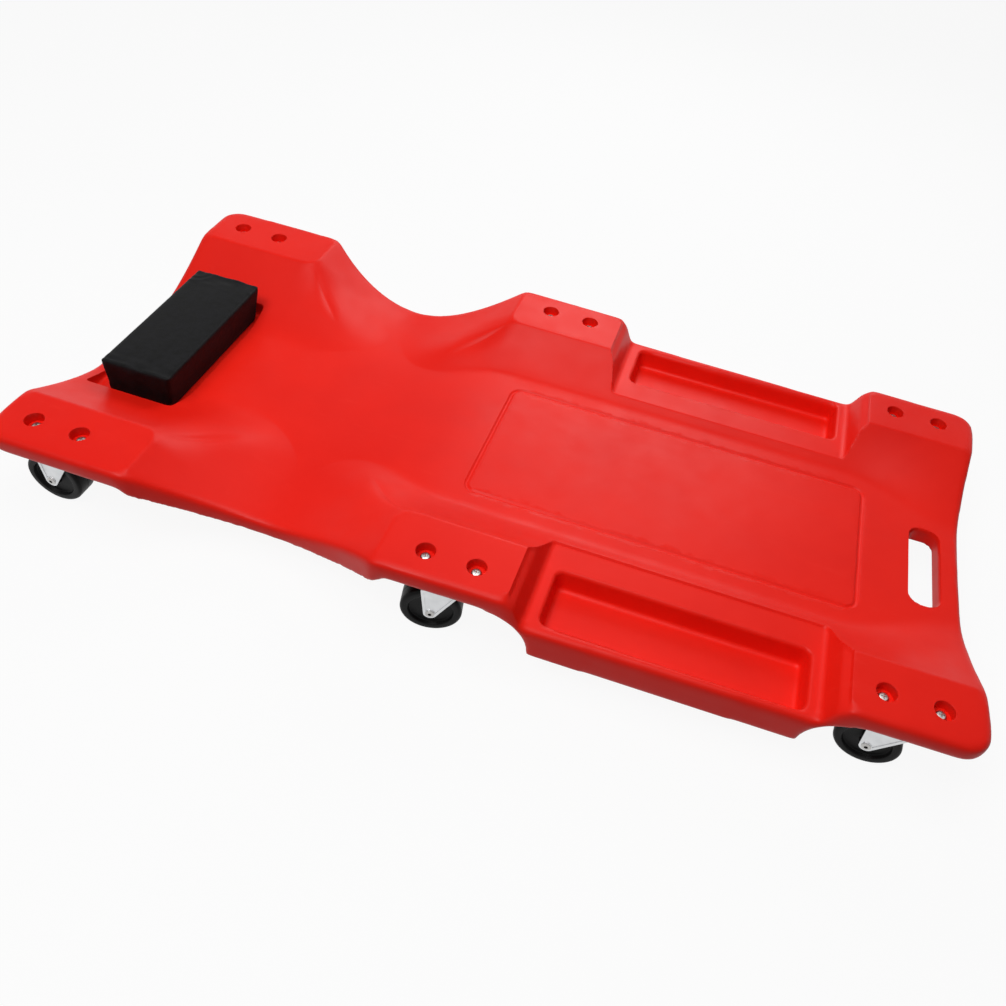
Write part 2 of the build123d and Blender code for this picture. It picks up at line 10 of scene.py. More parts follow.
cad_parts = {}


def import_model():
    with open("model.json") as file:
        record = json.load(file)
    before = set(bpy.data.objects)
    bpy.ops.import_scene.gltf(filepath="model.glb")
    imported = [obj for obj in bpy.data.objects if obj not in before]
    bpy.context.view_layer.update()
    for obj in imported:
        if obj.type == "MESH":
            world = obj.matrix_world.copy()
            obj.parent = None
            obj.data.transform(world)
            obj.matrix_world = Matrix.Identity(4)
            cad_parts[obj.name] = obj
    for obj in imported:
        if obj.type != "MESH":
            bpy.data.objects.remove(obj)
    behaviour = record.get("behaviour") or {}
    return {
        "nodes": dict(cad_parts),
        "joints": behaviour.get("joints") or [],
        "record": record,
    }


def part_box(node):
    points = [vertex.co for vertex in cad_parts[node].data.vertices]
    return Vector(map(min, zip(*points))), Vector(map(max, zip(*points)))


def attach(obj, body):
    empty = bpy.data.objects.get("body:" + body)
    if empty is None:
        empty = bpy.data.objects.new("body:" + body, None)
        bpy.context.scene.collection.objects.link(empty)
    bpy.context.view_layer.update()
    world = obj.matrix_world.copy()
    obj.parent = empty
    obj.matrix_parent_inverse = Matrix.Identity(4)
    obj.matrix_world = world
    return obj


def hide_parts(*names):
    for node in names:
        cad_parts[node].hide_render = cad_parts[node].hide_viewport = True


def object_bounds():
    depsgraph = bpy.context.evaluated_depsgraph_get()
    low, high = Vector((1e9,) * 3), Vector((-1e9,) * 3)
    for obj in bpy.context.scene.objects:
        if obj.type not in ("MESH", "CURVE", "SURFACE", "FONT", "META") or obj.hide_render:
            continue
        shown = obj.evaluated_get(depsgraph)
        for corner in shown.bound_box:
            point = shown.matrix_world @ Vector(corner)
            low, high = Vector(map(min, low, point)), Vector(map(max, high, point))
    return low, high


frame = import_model()
cad_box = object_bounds()
NODES = frame["nodes"]
JOINTS = {joint["name"]: joint for joint in frame["joints"]}
CORNERS = [f"{station}_{side}" for station in ("head", "mid", "foot") for side in ("right", "left")]
MM = 0.001


# ---------------------------------------------------------------- scene helpers
def link(obj):
    """The object, put into the scene."""
    bpy.context.scene.collection.objects.link(obj)
    return obj


def new_object(name, mesh):
    """A new object of the mesh, in the scene."""
    return link(bpy.data.objects.new(name, mesh))


def flatten(obj):
    """Apply the object's modifiers to its mesh."""
    graph = bpy.context.evaluated_depsgraph_get()
    mesh = bpy.data.meshes.new_from_object(obj.evaluated_get(graph))
    obj.modifiers.clear()
    old = obj.data
    obj.data = mesh
    bpy.data.meshes.remove(old)


def modify(obj, kind, **settings):
    """Add one modifier with these settings, and apply it."""
    step = obj.modifiers.new(kind.lower(), kind)
    for key, value in settings.items():
        setattr(step, key, value)
    flatten(obj)


def points_of(mesh):
    """The mesh's vertices, one row each."""
    co = np.empty(len(mesh.vertices) * 3)
    mesh.vertices.foreach_get("co", co)
    return co.reshape(-1, 3)


def set_points(mesh, co):
    """Move the mesh's vertices to these rows."""
    mesh.vertices.foreach_set("co", np.ascontiguousarray(co, dtype=np.float32).ravel())
    mesh.update()


def mesh_of(name, verts, faces):
    """A mesh with its faces turned outwards."""
    mesh = bpy.data.meshes.new(name)
    mesh.from_pydata(verts, [], faces)
    bm = bmesh.new()
    bm.from_mesh(mesh)
    bmesh.ops.recalc_face_normals(bm, faces=bm.faces)
    bm.to_mesh(mesh)
    bm.free()
    return mesh


def lists_of(mesh):
    """The mesh's vertices and faces, as lists of tuples."""
    return [tuple(v) for v in points_of(mesh)], [tuple(face.vertices) for face in mesh.polygons]


def joined(parts):
    """Several pairs of vertices and faces as one pair."""
    verts, faces = [], []
    for more_verts, more_faces in parts:
        start = len(verts)
        verts += more_verts
        faces += [tuple(i + start for i in face) for face in more_faces]
    return verts, faces


def merged(name, parts):
    """One mesh of several pairs of vertices and faces."""
    return mesh_of(name, *joined(parts))


def shade_smooth(mesh, angle):
    """Smooth shading, but for edges that turn by more than the angle, in radians."""
    mesh.shade_smooth()
    mesh.set_sharp_from_angle(angle=angle)


def smooth_step(value, start, end):
    """0 up to the start and 1 from the end, with a smooth rise between."""
    share = np.clip((value - start) / (end - start), 0, 1)
    return share * share * (3 - 2 * share)


# ---------------------------------------------------------------- node materials
def node_tree(name):
    """A new material, with its node tree and its shader."""
    mat = bpy.data.materials.new(name)
    mat.use_nodes = True
    tree = mat.node_tree
    shader = tree.nodes["Principled BSDF"]
    return mat, tree, shader


def add(tree, kind, **values):
    """A new node; the values go to its inputs, or else to its settings."""
    node = tree.nodes.new(kind)
    for key, value in values.items():
        if key in node.inputs:
            node.inputs[key].default_value = value
        else:
            setattr(node, key, value)
    return node


def coords(tree, scale=(1, 1, 1)):
    """Object coordinates, scaled."""
    where = add(tree, "ShaderNodeTexCoord")
    place = add(tree, "ShaderNodeMapping")
    place.inputs["Scale"].default_value = scale
    tree.links.new(where.outputs["Object"], place.inputs["Vector"])
    return place.outputs["Vector"]


def noise_of(tree, vector, scale, detail=3.0, rough=0.5):
    """Noise between 0 and 1."""
    node = add(tree, "ShaderNodeTexNoise", Scale=scale, Detail=detail, Roughness=rough)
    tree.links.new(vector, node.inputs["Vector"])
    return node.outputs["Fac"]


def mix_of(tree, factor, first, second):
    """A colour between two, each a tuple or a socket; the factor is a socket."""
    node = add(tree, "ShaderNodeMix", data_type="RGBA")
    tree.links.new(factor, node.inputs[0])
    for socket, value in ((node.inputs[6], first), (node.inputs[7], second)):
        if isinstance(value, tuple):
            socket.default_value = (*value, 1.0)
        else:
            tree.links.new(value, socket)
    return node.outputs[2]


def range_of(tree, value, low, high, to_low=0.0, to_high=1.0):
    """A value mapped from one range onto another."""
    node = add(tree, "ShaderNodeMapRange")
    limits = {"From Min": low, "From Max": high, "To Min": to_low, "To Max": to_high}
    for key, number in limits.items():
        node.inputs[key].default_value = number
    tree.links.new(value, node.inputs["Value"])
    return node.outputs["Result"]


def bump_of(tree, height, distance, strength=1.0, normal=None):
    """A bumped normal, on top of another where one is given."""
    node = add(tree, "ShaderNodeBump", Strength=strength, Distance=distance)
    tree.links.new(height, node.inputs["Height"])
    if normal is not None:
        tree.links.new(normal, node.inputs["Normal"])
    return node.outputs["Normal"]


def red_plastic():
    """Satin moulded polyethylene: a fine grain, faint clouding and a few rubbed places."""
    mat, tree, shader = node_tree("red_plastic")
    place = coords(tree)
    cloud = range_of(tree, noise_of(tree, place, 7.0, 4.0), 0.35, 0.65)
    base = mix_of(tree, cloud, (0.80, 0.010, 0.004), (0.87, 0.014, 0.006))
    rub = noise_of(tree, coords(tree, (1.0, 3.0, 1.0)), 26.0, 7.0, 0.65)
    base = mix_of(tree, range_of(tree, rub, 0.60, 0.78, 0.0, 0.35), base, (0.89, 0.030, 0.018))
    tree.links.new(base, shader.inputs["Base Color"])
    grain = noise_of(tree, place, 1500.0, 2.0)
    ripple = noise_of(tree, place, 55.0, 2.0)
    smear = noise_of(tree, place, 30.0, 5.0)
    tree.links.new(range_of(tree, smear, 0.3, 0.7, 0.36, 0.46), shader.inputs["Roughness"])
    normal = bump_of(tree, ripple, 0.0006, 0.25)
    tree.links.new(bump_of(tree, grain, 0.00007, 0.5, normal), shader.inputs["Normal"])
    shader.inputs["Specular IOR Level"].default_value = 0.16
    return mat


def black_vinyl():
    """Soft black vinyl with a leather-like grain."""
    mat, tree, shader = node_tree("black_vinyl")
    place = coords(tree)
    cell = add(tree, "ShaderNodeTexVoronoi", Scale=900.0)
    tree.links.new(place, cell.inputs["Vector"])
    wrinkle = noise_of(tree, place, 160.0, 4.0)
    shade = range_of(tree, wrinkle, 0.3, 0.7)
    base = mix_of(tree, shade, (0.004, 0.004, 0.004), (0.009, 0.009, 0.010))
    tree.links.new(base, shader.inputs["Base Color"])
    tree.links.new(range_of(tree, wrinkle, 0.3, 0.7, 0.42, 0.56), shader.inputs["Roughness"])
    normal = bump_of(tree, wrinkle, 0.0004, 0.4)
    normal = bump_of(tree, cell.outputs["Distance"], 0.0002, 0.5, normal)
    tree.links.new(normal, shader.inputs["Normal"])
    shader.inputs["Specular IOR Level"].default_value = 0.07
    return mat


def board_material():
    """Plain fibreboard."""
    mat, tree, shader = node_tree("board")
    fibre = noise_of(tree, coords(tree, (1, 1, 4)), 420.0, 5.0)
    base = mix_of(tree, range_of(tree, fibre, 0.3, 0.7), (0.20, 0.12, 0.06), (0.33, 0.21, 0.12))
    tree.links.new(base, shader.inputs["Base Color"])
    shader.inputs["Roughness"].default_value = 0.85
    tree.links.new(bump_of(tree, fibre, 0.0002), shader.inputs["Normal"])
    return mat


def metal(name, dark, light, rough_low, rough_high, scale):
    """Plated steel with a mottled finish."""
    mat, tree, shader = node_tree(name)
    place = coords(tree)
    mottle = noise_of(tree, place, scale, 5.0, 0.6)
    fine = noise_of(tree, place, 2600.0, 2.0)
    base = mix_of(tree, range_of(tree, mottle, 0.35, 0.65), dark, light)
    tree.links.new(base, shader.inputs["Base Color"])
    rough = range_of(tree, mottle, 0.3, 0.7, rough_low, rough_high)
    tree.links.new(rough, shader.inputs["Roughness"])
    tree.links.new(bump_of(tree, fine, 0.00004, 0.5), shader.inputs["Normal"])
    shader.inputs["Metallic"].default_value = 1.0
    return mat


def black_wheel():
    """Black moulded wheel, satin with faint scuffs."""
    mat, tree, shader = node_tree("black_wheel")
    place = coords(tree)
    scuff = noise_of(tree, place, 120.0, 6.0, 0.7)
    grain = noise_of(tree, place, 1500.0, 2.0)
    shade = range_of(tree, scuff, 0.55, 0.8)
    base = mix_of(tree, shade, (0.002, 0.002, 0.002), (0.010, 0.010, 0.011))
    tree.links.new(base, shader.inputs["Base Color"])
    tree.links.new(range_of(tree, scuff, 0.3, 0.7, 0.34, 0.46), shader.inputs["Roughness"])
    tree.links.new(bump_of(tree, grain, 0.00008, 0.5), shader.inputs["Normal"])
    shader.inputs["Specular IOR Level"].default_value = 0.10
    return mat


MATERIALS = {
    "red_plastic": red_plastic(),
    "black_vinyl": black_vinyl(),
    "board": board_material(),
    "zinc_steel": metal("zinc_steel", dark=(0.60, 0.61, 0.62), light=(0.72, 0.73, 0.74),
                        rough_low=0.28, rough_high=0.40, scale=45.0),
    "steel_fastener": metal("steel_fastener", dark=(0.40, 0.39, 0.38), light=(0.56, 0.55, 0.53),
                            rough_low=0.24, rough_high=0.36, scale=90.0),
    "black_wheel": black_wheel(),
}


def dress(obj, slot):
    """Give a piece the material of its slot."""
    obj.data.materials.clear()
    obj.data.materials.append(MATERIALS[slot])
    return obj


def dress_cad_nodes():
    """Every CAD node gets the procedural material of its slot."""
    finish_of = {row["node"]: row["material_slot"] for row in frame["record"]["subparts"]}
    for name, obj in NODES.items():
        material = MATERIALS[finish_of[name]]
        if not obj.material_slots:
            obj.data.materials.append(material)
        for slot in obj.material_slots:
            slot.link = "OBJECT"
            slot.material = material


# ---------------------------------------------------------------- turned shapes
def lathe(profile, turns):
    """Vertices and faces of a closed ring-shaped profile of (radius, height), turned about Z."""
    verts, faces = [], []
    n = len(profile)
    for i in range(turns):
        angle = 2 * pi * i / turns
        verts += [(radius * cos(angle), radius * sin(angle), height) for radius, height in profile]
        for j in range(n):
            k = (j + 1) % n
            faces.append((i * n + j, (i + 1) % turns * n + j, (i + 1) % turns * n + k, i * n + k))
    return verts, faces


def arc(centre, radius, start, end, steps):
    """Points of an arc in the (radius, height) half-plane, angles in degrees."""
    angles = np.radians(np.linspace(start, end, steps + 1))
    return [(centre[0] + radius * cos(a), centre[1] + radius * sin(a)) for a in angles]


# ---------------------------------------------------------------- deck
# Its outline in plan: half widths, and where the waist starts and ends.
HEAD_HALF = 246.0 * MM
MID_HALF = 249.0 * MM
FOOT_HALF = 241.0 * MM
WAIST_HALF = 208.0 * MM
WAIST_X = (-346.0 * MM, -78.0 * MM)
WAIST_MIDDLE = (WAIST_X[0] + WAIST_X[1]) / 2
WAIST_REACH = (WAIST_X[1] - WAIST_X[0]) / 2

# Its upper surface: a bed between raised pads.
PAD_TOP = 104.0 * MM
BED_TOP = 68.0 * MM
HEAD_BED_TOP = 57.5 * MM         # the bed is lower at the head,
BED_STEP_END = -52.0 * MM        # and reaches its full height here
PAD_INNER = 173.0 * MM           # where the pads' level tops start
BED_HALF = 112.0 * MM            # where the slopes up to them start
TROUGH_HALF = 64.0 * MM          # and where they start at the deck's two ends
FOOT_FLARE = 370.0 * MM          # where the bed starts to narrow towards its foot
WAIST_DROP = 6.0 * MM            # how much lower the waist is at its sides
PAD_PLAN_RADIUS = 18.0 * MM      # of the pads' corners beside the waist
CORNER_FALL = 12.0               # how fast a pad falls away round such a corner
CORNER_FADE = 60.0 * MM          # and how far into the pad that goes
SIDE_POWER, WAIST_POWER, CREASE_POWER = 1.35, 1.9, 6.0
CRISP, BLEND = 0.02, 0.10        # how closely the slopes are turned at their tops and feet
CRISP_GAP = (2.0 * MM, 3.5 * MM)         # gaps to the formula that are closed fully, and not at all
CRISP_INSIDE = (7 * MM, 14 * MM)         # distances inside the outline: not at all, and fully

# How its shell is made.
VOXEL = 2.0 * MM
SOFTENING = 3                    # passes of smoothing over all of it
RIM_SOFTENING = 35               # more passes along its outline
RIM_BAND = 13.0 * MM
SHELL_KEPT = 0.4                 # share of the faces left after thinning
LARGE_FACES = 70                 # how much more large faces count in the shading

# The bolts' holes in it: turned profiles of (radius, height) in millimetres.
AXIS_GAP = 0.2                   # radius of the hole that a turned ring leaves on its axis
BOLT_SEAT = 93.0 * MM
BOLT_SPACING = 20 * MM           # two bolts are further apart than this,
BOLT_REACH = 12 * MM             # and one bolt's points are nearer together than this
PLUG = ((AXIS_GAP, 84.0), (10.6, 84.0), (10.6, 104.0), (AXIS_GAP, 104.0))
COUNTERBORE = ((AXIS_GAP, 70.0), (3.3, 70.0), (3.3, 93.0), (9.85, 93.0), (9.85, 103.2),
               (10.15, 103.8), (10.75, 104.1), (11.6, 104.35), (11.6, 112.0), (AXIS_GAP, 112.0))

# The bed's level panel and the groove round it.
PANEL_X = (-41.0 * MM, 392.0 * MM)
PANEL_HALF = 93.0 * MM
PANEL_CORNER = 14.0 * MM
PANEL_FADE = (4 * MM, 14 * MM)   # how far outside the panel the levelling starts and stops fading
PANEL_DEPTH = 4 * MM             # points further below the bed's top aren't levelled
GROOVE = 3.5 * MM
GROOVE_SECTION = ((4.4, 0.9), (3.0, -0.03), (2.4, -0.4), (1.2, -1.4), (0.4, -1.6))  # mm out and up


def rounded_path(x0, x1, y0, y1, radius, turns=8):
    """Points round a rounded rectangle, anticlockwise, with the outward direction at each."""
    rows = []
    for cx, cy, start in ((x1 - radius, y1 - radius, 0), (x0 + radius, y1 - radius, 1),
                          (x0 + radius, y0 + radius, 2), (x1 - radius, y0 + radius, 3)):
        for i in range(turns + 1):
            angle = (start + i / turns) * pi / 2
            out = (cos(angle), sin(angle))
            rows.append(((cx + radius * out[0], cy + radius * out[1]), out))
    return rows


def sweep(name, path, section, height):
    """A closed ring with one cross-section of (outward, upward) offsets along a path in plan."""
    verts, faces = [], []
    for (x, y), (ox, oy) in path:
        verts += [(x + ox * a, y + oy * a, height + b) for a, b in section]
    n, m = len(path), len(section)
    for i in range(n):
        for j in range(m):
            k = (j + 1) % m
            faces.append((i * m + j, i * m + k, (i + 1) % n * m + k, (i + 1) % n * m + j))
    return new_object(name, mesh_of(name, verts, faces))


def cut(obj, cutter):
    """Take the cutter from the object, and remove it."""
    modify(obj, "BOOLEAN", operation="DIFFERENCE", solver="EXACT", object=cutter)
    bpy.data.objects.remove(cutter)


def plan_edge(x):
    """Half the deck's width along X: straight pads with the waist's arc between."""
    rise = (HEAD_HALF + MID_HALF) / 2 - WAIST_HALF
    radius = (WAIST_REACH * WAIST_REACH + rise * rise) / (2 * rise)
    drop = np.sqrt(np.maximum(radius ** 2 - (x - WAIST_MIDDLE) ** 2, 0))
    waist = WAIST_HALF + radius - drop
    past = np.clip((x - WAIST_X[1]) / (cad_box[1].x - WAIST_X[1]), 0, 1)
    pads = np.where(x < WAIST_MIDDLE, HEAD_HALF, MID_HALF + (FOOT_HALF - MID_HALF) * past)
    return np.where(np.abs(x - WAIST_MIDDLE) < WAIST_REACH, waist, pads)


def soften(obj, passes, chosen=None):
    """Smooth the mesh, over the chosen points only if they are given."""
    group_name = ""
    if chosen is not None:
        group = obj.vertex_groups.new(name="soft")
        group.add([int(i) for i in np.flatnonzero(chosen)], 1.0, "REPLACE")
        group_name = group.name
    modify(obj, "SMOOTH", factor=0.5, iterations=passes, vertex_group=group_name)


def inside_by(co):
    """How far each point is inside the deck's outline."""
    x, y = co[:, 0], co[:, 1]
    return np.minimum(plan_edge(x) - np.abs(y), cad_box[1].x - np.abs(x))


def held(share):
    """Held between 0 and 1, turned softly at 0 and closely at 1."""
    def hinge(value, reach):
        return np.where(value > reach, value, np.maximum(value + reach, 0) ** 2 / (4 * reach))

    return hinge(share, BLEND) - hinge(share - 1, CRISP)


def corner_loss(past_side, past_end):
    """The share of a pad's height that its rounded corner takes, past its two edges."""
    past = np.maximum(np.maximum(past_side, past_end), 0)
    turned = np.hypot(np.maximum(past_side + PAD_PLAN_RADIUS, 0),
                      np.maximum(past_end + PAD_PLAN_RADIUS, 0))
    outside = np.maximum(turned - PAD_PLAN_RADIUS - past, 0)
    return CORNER_FALL * outside * (1 - smooth_step(past, 0, CORNER_FADE))


def deck_height(x, y):
    """The moulding's upper surface, as the part's source has it, with crisper edges."""
    y = np.abs(y)
    from_middle = np.abs(x - WAIST_MIDDLE)
    level = smooth_step(x, WAIST_MIDDLE, BED_STEP_END)
    bed = HEAD_BED_TOP + (BED_TOP - HEAD_BED_TOP) * level
    narrow = np.maximum(1 - level, smooth_step(x, FOOT_FLARE, cad_box[1].x))
    edge = BED_HALF + (TROUGH_HALF - BED_HALF) * narrow
    side = np.maximum(held((y - edge) / (PAD_INNER - edge)), 0) ** SIDE_POWER
    along = held(from_middle / WAIST_REACH) ** WAIST_POWER
    slopes = ((1 - side) ** CREASE_POWER + (1 - along) ** CREASE_POWER) ** (1 / CREASE_POWER)
    lost = corner_loss(PAD_INNER - y, WAIST_REACH - from_middle)
    fall = WAIST_DROP * (1 - along) * smooth_step(y, TROUGH_HALF, WAIST_HALF)
    return bed + (PAD_TOP - bed) * np.maximum(1 - slopes - lost, 0) - fall


def crispen(mesh):
    """Sharpen the pads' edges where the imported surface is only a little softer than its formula."""
    co = points_of(mesh)
    gap = deck_height(co[:, 0], co[:, 1]) - co[:, 2]
    share = 1 - smooth_step(np.abs(gap), *CRISP_GAP)
    share *= smooth_step(inside_by(co), *CRISP_INSIDE)
    co[:, 2] += share * gap
    set_points(mesh, co)


def bolt_places():
    """Where the caster bolts stand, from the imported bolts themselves."""
    co = points_of(NODES["caster_bolts"].data)
    seats = co[co[:, 2] > BOLT_SEAT]
    places = []
    for x, y in seats[:, :2]:
        if all(abs(x - place[0]) + abs(y - place[1]) > BOLT_SPACING for place in places):
            group = seats[np.hypot(seats[:, 0] - x, seats[:, 1] - y) < BOLT_REACH, :2]
            places.append(tuple((group.min(axis=0) + group.max(axis=0)) / 2))
    return places


def placed(part, places):
    """Copies of (vertices, faces) in millimetres, one at each place in plan, in metres."""
    verts, faces = part
    return [([(v[0] * MM + x, v[1] * MM + y, v[2] * MM) for v in verts], faces)
            for x, y in places]


def plugged_deck():
    """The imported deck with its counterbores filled, so that they can be cut crisply later."""
    plugs = placed(lathe(PLUG, 24), bolt_places())
    verts, faces = joined([lists_of(NODES["deck"].data)] + plugs)
    mesh = bpy.data.meshes.new("deck_shell")
    mesh.from_pydata(verts, [], faces)
    return mesh


def level_panel(mesh):
    """The bed's middle back to one level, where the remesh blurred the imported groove."""
    co = points_of(mesh)
    past_x = np.maximum(PANEL_X[0] - co[:, 0], co[:, 0] - PANEL_X[1])
    past = np.maximum(past_x, np.abs(co[:, 1]) - PANEL_HALF)
    share = 1 - smooth_step(past, *PANEL_FADE)
    share[co[:, 2] < BED_TOP - PANEL_DEPTH] = 0
    co[:, 2] += share * (BED_TOP - co[:, 2])
    set_points(mesh, co)


def panel_groove():
    """The ring that cuts the groove just inside the panel's outline."""
    half = GROOVE / 2
    path = rounded_path(PANEL_X[0] + half, PANEL_X[1] - half, half - PANEL_HALF, PANEL_HALF - half,
                        PANEL_CORNER - half)
    section = [(a * MM, b * MM) for a, b in GROOVE_SECTION]
    section += [(-a, b) for a, b in reversed(section)]
    return sweep("groove", path, section, BED_TOP)


def deck_shell():
    """The deck with the soft edges of a moulding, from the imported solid's own surface."""
    obj = new_object("deck_shell", plugged_deck())
    modify(obj, "REMESH", mode="VOXEL", voxel_size=VOXEL)
    soften(obj, SOFTENING)
    crispen(obj.data)
    soften(obj, RIM_SOFTENING, inside_by(points_of(obj.data)) < RIM_BAND)
    level_panel(obj.data)
    modify(obj, "DECIMATE", ratio=SHELL_KEPT)
    cut(obj, panel_groove())
    holes = placed(lathe(COUNTERBORE, 48), bolt_places())
    cut(obj, new_object("holes", merged("holes", holes)))
    shade_smooth(obj.data, 0.7)
    modify(obj, "WEIGHTED_NORMAL", keep_sharp=True, weight=LARGE_FACES)
    dress(obj, "red_plastic")
    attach(obj, "root")
    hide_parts("deck")


# ---------------------------------------------------------------- headrest
CUSHION_CELL = 3.0 * MM
CUSHION_ROLL = 7.0 * MM          # how far from its edges the cushion is rounded
CUSHION_ROUNDING = 9             # passes of that rounding
CUSHION_RISE = 5.0 * MM          # how far the stuffing lifts its top
CUSHION_FOOT = 8 * MM            # the height up to which that lift is nothing
CUSHION_STRETCH = 1.03           # how much longer the stuffing makes it, between its ends
CUSHION_SHRINK = 1.0 * MM        # how much smaller the cushion starts than its box
CUSHION_CAP = 4.5 * MM           # how far the swelling may move a point
CUSHION_FRONT_TAPER = 9.0 * MM
CUSHION_END_TAPER = 5.0 * MM
SKIRT = 5.6 * MM                 # the rim that the cushion rests on, round its board
BOARD_POCKET = 6.3 * MM          # how far the board's pocket goes up from it

# Its vinyl's folds: heights in millimetres.
SOFT_LIFT = 0.5                  # of the gentle unevenness all over
FOLD_LIFT, FOLD_PUSH = 1.1, 1.5  # of the folds near the ends, upwards and sideways
RIDGE_LIFT = 1.4                 # of the ridge along each end of the top
RIDGE_WIDTH = 2.4 * MM
RIDGE_PLACE = 2.5 * MM           # how far in from the end that ridge runs
ARC_LIFT = 0.8                   # of the arcs round its corner at low X and high Y
ARC_WIDTH = 1.8 * MM
ARC_CENTRE = 4 * MM              # how far in from low X their middle is
ARC_RADII = (13.0 * MM, 21.0 * MM)

CLOTH_FRAMES = 20                # how long the cushion is left to swell
CLOTH = {
    "quality": 6,
    "mass": 0.2,
    "tension_stiffness": 14.0,
    "compression_stiffness": 14.0,
    "shear_stiffness": 8.0,
    "bending_stiffness": 1.0,
    "use_pressure": True,
    "uniform_pressure_force": 4.0,
    "vertex_group_mass": "pin",
}


def spaced(low, high, cell):
    """Grid lines between two ends, with lines at the skirt's inner edge."""
    inner = np.linspace(low + SKIRT, high - SKIRT, round((high - low - 2 * SKIRT) / cell) + 1)
    return np.concatenate([[low, low + SKIRT / 2], inner, [high - SKIRT / 2, high]])


def box_grid(xs, ys, zs):
    """A box as one closed grid: its vertices, its faces and each vertex's place in the grid."""
    index, verts, faces = {}, [], []

    def vert(i, j, k):
        key = (i, j, k)
        if key not in index:
            index[key] = len(verts)
            verts.append((xs[i], ys[j], zs[k]))
        return index[key]

    def quad(*places):
        faces.append([vert(*place) for place in places])

    a, b, c = len(xs) - 1, len(ys) - 1, len(zs) - 1
    for i in range(a):
        for j in range(b):
            quad((i, j, c), (i + 1, j, c), (i + 1, j + 1, c), (i, j + 1, c))
            quad((i, j, 0), (i, j + 1, 0), (i + 1, j + 1, 0), (i + 1, j, 0))
    for i in range(a):
        for k in range(c):
            quad((i, 0, k), (i + 1, 0, k), (i + 1, 0, k + 1), (i, 0, k + 1))
            quad((i, b, k), (i, b, k + 1), (i + 1, b, k + 1), (i + 1, b, k))
    for j in range(b):
        for k in range(c):
            quad((0, j, k), (0, j, k + 1), (0, j + 1, k + 1), (0, j + 1, k))
            quad((a, j, k), (a, j + 1, k), (a, j + 1, k + 1), (a, j, k + 1))
    return verts, faces, list(index)


def tapered(co, low, high):
    """The box leaned in towards its foot, on its foot side and both ends."""
    down = (high.z - co[:, 2]) / (high.z - low.z)
    along = (co[:, 0] - low.x) / (high.x - low.x)
    across = (co[:, 1] * 2) / (high.y - low.y)
    co = co.copy()
    co[:, 0] -= CUSHION_FRONT_TAPER * down * along
    co[:, 1] -= CUSHION_END_TAPER * down * across
    return co


def cushion():
    """Vinyl over foam: a box whose faces swell between sewn edges."""
    low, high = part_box("headrest_cushion")
    inset = Vector((CUSHION_SHRINK, CUSHION_SHRINK, 0))
    start, end = low + inset, high - inset - Vector((0, 0, CUSHION_SHRINK))
    xs, ys = spaced(start.x, end.x, CUSHION_CELL), spaced(start.y, end.y, CUSHION_CELL)
    zs = np.linspace(start.z, end.z, round((end.z - start.z) / CUSHION_CELL) + 1)
    verts, faces, keys = box_grid(xs, ys, zs)
    mesh = bpy.data.meshes.new("cushion")
    mesh.from_pydata(verts, [], faces)
    rest = tapered(points_of(mesh), start, end)
    set_points(mesh, rest)
    obj = new_object("cushion", mesh)
    last = (len(xs) - 1, len(ys) - 1, len(zs) - 1)
    on_edge = np.array([sum(k in (0, n) for k, n in zip(key, last)) >= 2 for key in keys])
    under = np.array([key[2] == 0 for key in keys])
    swell(obj, [int(i) for i in np.flatnonzero(on_edge | under)], rest)
    soften(obj, CUSHION_ROUNDING, rolled(rest, start, end))
    co = points_of(obj.data)
    co[:, 1] *= CUSHION_STRETCH
    co[:, 2] += CUSHION_RISE * smooth_step(rest[:, 2], start.z + CUSHION_FOOT, end.z)
    co += crumple(co, start, end) * ~under[:, None]
    x, y = co[:, 0], co[:, 1]
    inside = (x > xs[2] - MM / 2) & (x < xs[-3] - CUSHION_FRONT_TAPER + MM)
    inside &= np.abs(y) < (ys[-3] - CUSHION_END_TAPER + MM) * CUSHION_STRETCH
    co[under & ~on_edge & inside, 2] += BOARD_POCKET
    set_points(obj.data, co)
    modify(obj, "SUBSURF", levels=1, render_levels=1)
    shade_smooth(obj.data, 0.9)
    dress(obj, "black_vinyl")
    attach(obj, "root")
    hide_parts("headrest_cushion")


def rolled(co, low, high):
    """The points near two or more of the cushion's faces, above its foot."""
    untaper = (high.z - co[:, 2]) / (high.z - low.z)
    gaps = np.stack([co[:, 0] - low.x, high.x - CUSHION_FRONT_TAPER * untaper - co[:, 0],
                     high.y - CUSHION_END_TAPER * untaper - np.abs(co[:, 1]), high.z - co[:, 2]])
    gaps[0:2] = np.sort(gaps[0:2], axis=0)
    return (np.sort(gaps, axis=0)[1] < CUSHION_ROLL) & (co[:, 2] > low.z + 2 * CUSHION_ROLL)


def swell(obj, pinned, rest):
    """Blow the faces up a little between the pinned edges."""
    group = obj.vertex_groups.new(name="pin")
    group.add(pinned, 1.0, "REPLACE")
    settings = obj.modifiers.new("cloth", "CLOTH").settings
    for key, value in CLOTH.items():
        setattr(settings, key, value)
    settings.effector_weights.gravity = 0.0
    scene = bpy.context.scene
    for number in range(1, CLOTH_FRAMES + 1):
        scene.frame_set(number)
    flatten(obj)
    scene.frame_set(1)
    move = points_of(obj.data) - rest
    length = np.linalg.norm(move, axis=1)
    keep = np.minimum(1.0, CUSHION_CAP / np.maximum(length, 1e-9))
    set_points(obj.data, rest + move * keep[:, None])


